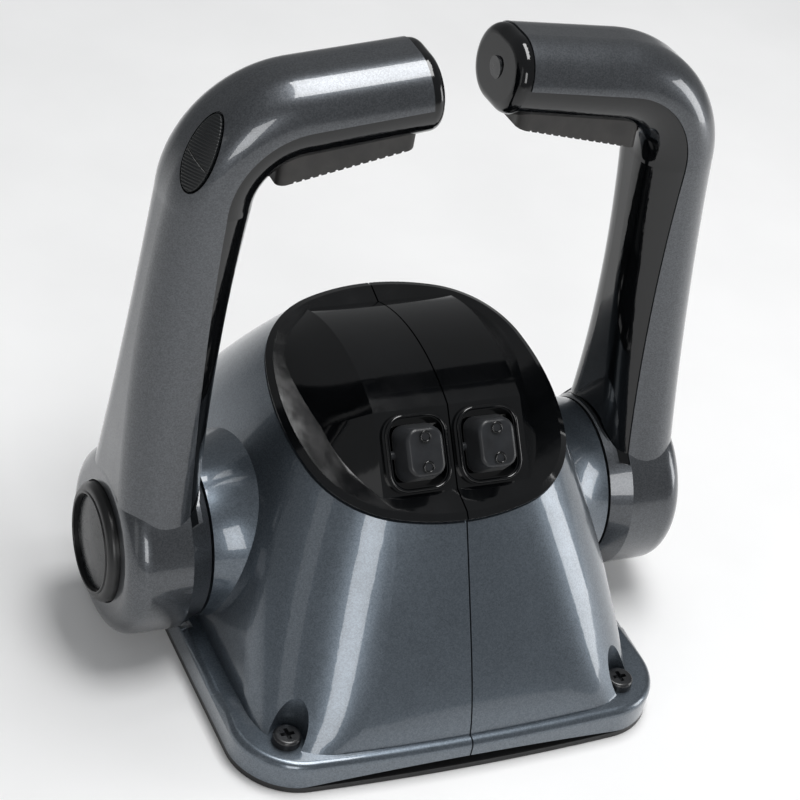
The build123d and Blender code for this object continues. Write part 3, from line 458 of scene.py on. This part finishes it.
# %% Lips and domes on the hub buttons
DISC_R, DISC_DROP = 15.9 * MM, 1.5 * MM
LIP_R, LIP_GAP = 0.45 * MM, 0.35 * MM
DOME_RISE, DOME_SHARE, SKIRT_SHARE = 1.1 * MM, 0.985, 0.97
DOME_BASE, SKIRT_DEPTHS = 0.05 * MM, (0.3 * MM, 0.1 * MM)


def turned(name, centre, sign, along, radius, body, slot, cap):
    """A surface of revolution about X: (x, r cos t, r sin t) for a profile along, radius."""
    angle = np.linspace(0, 2 * np.pi, 97)[:-1]
    x = np.broadcast_to((centre[0] + sign * along)[:, None], (len(along), len(angle)))
    y = centre[1] + np.outer(radius, np.cos(angle))
    z = centre[2] + np.outer(radius, np.sin(angle))
    made = grid_object(name, np.stack([x, y, z], axis=-1), close_u=not cap, close_v=True, cap=cap)
    made.data.materials.append(finishes[slot])
    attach(made, body)


for side, sign in (("left", -1), ("right", 1)):
    low, high = (np.array(corner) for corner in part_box(side + "_button_disc"))
    centre = (low + high) / 2
    centre[0] = high[0] if sign > 0 else low[0]
    share = np.linspace(1, 0.02, 24)
    dome_r = np.concatenate([[SKIRT_SHARE, DOME_SHARE], share * DOME_SHARE]) * DISC_R
    dome_x = np.concatenate([-np.array(SKIRT_DEPTHS), DOME_BASE + DOME_RISE * (1 - share ** 2)])
    turned(side + "_clear_dome", centre, sign, dome_x, dome_r, side + "_hub_button", "disc_plastic", True)
    lap = np.linspace(0, 2 * np.pi, 17)[:-1]
    lip_x = DISC_DROP + LIP_R * np.sin(lap)
    lip_r = DISC_R + LIP_GAP + LIP_R * np.cos(lap)
    turned(side + "_button_lip", centre, sign, lip_x, lip_r, side + "_hub_button", "button_rubber", False)

# %% [markdown]
# The control stands on a pale floor, as it would on a console. A curved backdrop would hide the floor's end,
# but one flat surface that reaches 4 m each way does so from above and keeps the soft shadows. The world is
# an even pale grey, kept dim so that black gloss stays black.

# %% Floor and world
FLOOR_HALF_SIDE, FLOOR_HEIGHT = 4.0, -0.0003
WORLD_STRENGTH = 0.24

near, far = -FLOOR_HALF_SIDE, FLOOR_HALF_SIDE
floor_corners = np.array([[[far, near, FLOOR_HEIGHT], [near, near, FLOOR_HEIGHT]],
                          [[far, far, FLOOR_HEIGHT], [near, far, FLOOR_HEIGHT]]])
floor = grid_object("floor", floor_corners)
floor_paint, floor_tree, floor_where = new_material("pale_floor")
floor_tone = add_node(floor_tree, "ShaderNodeMix", {
    "Factor": mottle(floor_tree, floor_where, size=60 * MM, low=0, high=1),
    "A": colour("#f4f4f4"), "B": colour("#f8f8f8")}, data_type="RGBA")
finish_surface(floor_tree, {"Base Color": floor_tone.outputs["Result"], "Roughness": 0.9})
floor.data.materials.append(floor_paint)

world = bpy.data.worlds.new("studio")
bpy.context.scene.world = world
world.use_nodes = True
world.node_tree.nodes.clear()
background = add_node(world.node_tree, "ShaderNodeBackground", {
    "Color": colour("#f6f8fa"), "Strength": WORLD_STRENGTH})
add_node(world.node_tree, "ShaderNodeOutputWorld", {"Surface": background.outputs["Background"]})
print("the floor is", 2 * FLOOR_HALF_SIDE, "m wide")

# %% [markdown]
# Four soft boxes light it. A large one overhead gives the long highlights on the grips, one in front lights
# the housing's face, and two at the sides draw the edges. Small bright lamps would give hard spots on lacquer
# and gloss, so every lamp is wide.

# %% Soft lights
LIT_MIDDLE = (0, 0, 0.09)


def soft_light(name, place, width, height, watts):
    """An area light at place that faces the middle of the control."""
    lamp = bpy.data.lights.new(name, "AREA")
    lamp.shape = "RECTANGLE"
    lamp.size, lamp.size_y, lamp.energy = width, height, watts
    back = np.array(place, float) - np.array(LIT_MIDDLE, float)
    back /= np.linalg.norm(back)
    side = np.cross([0, 0, 1], back)
    side /= np.linalg.norm(side)
    placed = np.identity(4)
    placed[:3, 0], placed[:3, 1], placed[:3, 2], placed[:3, 3] = side, np.cross(back, side), back, place
    made = bpy.data.objects.new(name, lamp)
    made.matrix_world = Matrix(placed.tolist())
    bpy.context.scene.collection.objects.link(made)
    print(name, "gives", watts, "W")


soft_light("overhead", place=(0.15, 0.0, 1.0), width=0.7, height=0.35, watts=8)
soft_light("front_box", place=(-0.35, -1.1, 0.55), width=0.35, height=0.6, watts=3.5)
soft_light("left_wide", place=(-1.1, -0.5, 0.45), width=0.3, height=0.8, watts=0.4)
soft_light("right_wide", place=(1.0, -0.35, 0.25), width=0.3, height=0.5, watts=2.5)

# %% [markdown]
# The camera looks down from astern on the port side, about where the helmsman's eyes are. Its turn could be
# three Euler angles, but azimuth, pitch and roll say plainly where it looks, so its axes are worked out from
# those.

# %% Camera
CAMERA_PLACE = (-0.3555, -0.5930, 0.5996)
AZIMUTH, PITCH, ROLL = np.radians((30.79, 36.90, 12.85))
LENS, SENSOR = 119.5, 36.0


def camera_axes():
    """Right, up and backward unit vectors from the three angles."""
    forward = np.array([np.sin(AZIMUTH) * np.cos(PITCH), np.cos(AZIMUTH) * np.cos(PITCH), -np.sin(PITCH)])
    level_right = np.array([np.cos(AZIMUTH), -np.sin(AZIMUTH), 0.0])
    level_up = np.cross(level_right, forward)
    right = level_right * np.cos(ROLL) + level_up * np.sin(ROLL)
    up = -level_right * np.sin(ROLL) + level_up * np.cos(ROLL)
    return right, up, -forward


lens = bpy.data.cameras.new("camera")
lens.lens, lens.sensor_width = LENS, SENSOR
camera = bpy.data.objects.new("camera", lens)
view = np.identity(4)
view[:3, 0], view[:3, 1], view[:3, 2] = camera_axes()
view[:3, 3] = CAMERA_PLACE
camera.matrix_world = Matrix(view.tolist())
bpy.context.scene.collection.objects.link(camera)
bpy.context.scene.camera = camera
bpy.context.scene.view_settings.view_transform = "Standard"
print("the camera stands", round(float(np.linalg.norm(CAMERA_PLACE)), 3), "m from the origin")
